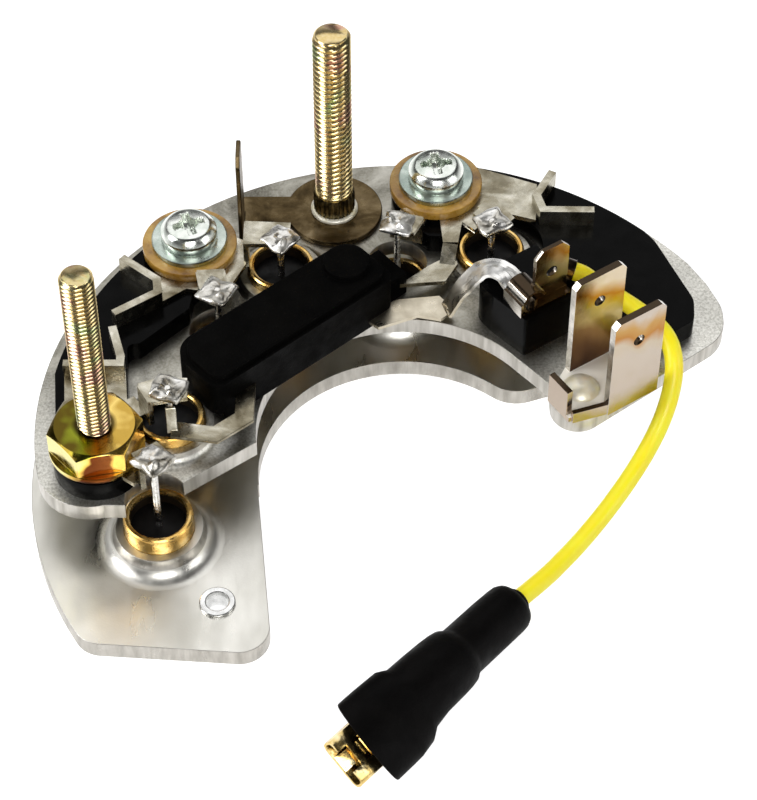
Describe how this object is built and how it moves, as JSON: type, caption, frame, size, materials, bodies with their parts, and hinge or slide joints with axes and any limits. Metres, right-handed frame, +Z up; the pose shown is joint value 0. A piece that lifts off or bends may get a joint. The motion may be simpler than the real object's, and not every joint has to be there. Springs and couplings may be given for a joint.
{
  "type": "alternator rectifier",
  "caption": "Horseshoe rectifier for an alternator: two stacked heatsink plates, press-fit diodes, threaded studs, spade terminals and a short booted sense lead.",
  "frame": {"origin": "centre of the part's box in plan, on the underside of the lower plate, without the sense lead", "axes": "+X from the tail and tap stud towards the output blades; +Y away from the horseshoe's mouth; +Z up along the studs and the alternator's shaft axis"},
  "size_m": [0.1079, 0.1158, 0.0542],
  "materials": {
    "lower_plate": "bright rolled",
    "upper_plate": "dull tumbled, bright cut edges",
    "cup": "dull gold plating",
    "silicon": "matt",
    "lead_wire": "tinned",
    "resin": "poured, glossy",
    "moulding": "glossy black",
    "exciter_moulding": "sandy matt black",
    "tinned_sheet": "dull tinned, bright edges",
    "solder": "bright, wrinkled",
    "spacer_plastic": "satin",
    "amber_insulator": "translucent amber",
    "washer_steel": "bluish zinc",
    "screw_steel": "bright zinc",
    "bronze_strap": "dull brown",
    "yellow_zinc": "yellow passivated zinc, slight iridescence",
    "nut_zinc": "yellow passivated zinc",
    "tinned_brass": "bright tinned",
    "rivet_metal": "pale yellow",
    "eyelet_metal": "satin",
    "yellow_wire": "satin yellow",
    "black_rubber": "satin black",
    "gold_brass": "bright brass"
  },
  "bodies": {
    "root": {"lower_heatsink": "lower_plate", "upper_heatsink": "upper_plate", "lower_cup_left": "cup", "lower_cup_middle": "cup", "lower_cup_right": "cup", "upper_cup_left": "cup", "upper_cup_middle": "cup", "upper_cup_right": "cup", "lower_die_left": "silicon", "lower_die_middle": "silicon", "lower_die_right": "silicon", "upper_die_left": "silicon", "upper_die_middle": "silicon", "upper_die_right": "silicon", "lower_lead_left": "lead_wire", "lower_lead_middle": "lead_wire", "lower_lead_right": "lead_wire", "upper_lead_left": "lead_wire", "upper_lead_middle": "lead_wire", "upper_lead_right": "lead_wire", "lower_resin_left": "resin", "lower_resin_middle": "resin", "lower_resin_right": "resin", "upper_resin_left": "resin", "upper_resin_middle": "resin", "upper_resin_right": "resin", "left_moulding": "moulding", "right_moulding": "moulding", "phase_terminal_front": "tinned_sheet", "phase_terminal_left": "tinned_sheet", "phase_terminal_right": "tinned_sheet", "solder_front": "solder", "solder_left": "solder", "solder_right": "solder", "spacer_left": "spacer_plastic", "spacer_right": "spacer_plastic", "insulating_washer_left": "amber_insulator", "insulating_washer_right": "amber_insulator", "steel_washer_left": "washer_steel", "steel_washer_right": "washer_steel", "screw_left": "screw_steel", "screw_right": "screw_steel", "output_strap": "bronze_strap", "output_stud": "yellow_zinc", "tap_stud": "yellow_zinc", "tap_nut": "nut_zinc", "trio_block": "exciter_moulding", "trio_lead_front": "tinned_sheet", "trio_lead_middle": "tinned_sheet", "trio_output_strip": "tinned_sheet", "indicator_terminal": "tinned_brass", "indicator_solder": "solder", "blade_bracket": "tinned_brass", "bracket_rivet": "rivet_metal", "tail_eyelet": "eyelet_metal", "sense_wire": "yellow_wire", "connector_boot": "black_rubber", "female_terminal": "gold_brass"}
  },
  "joints": []
}
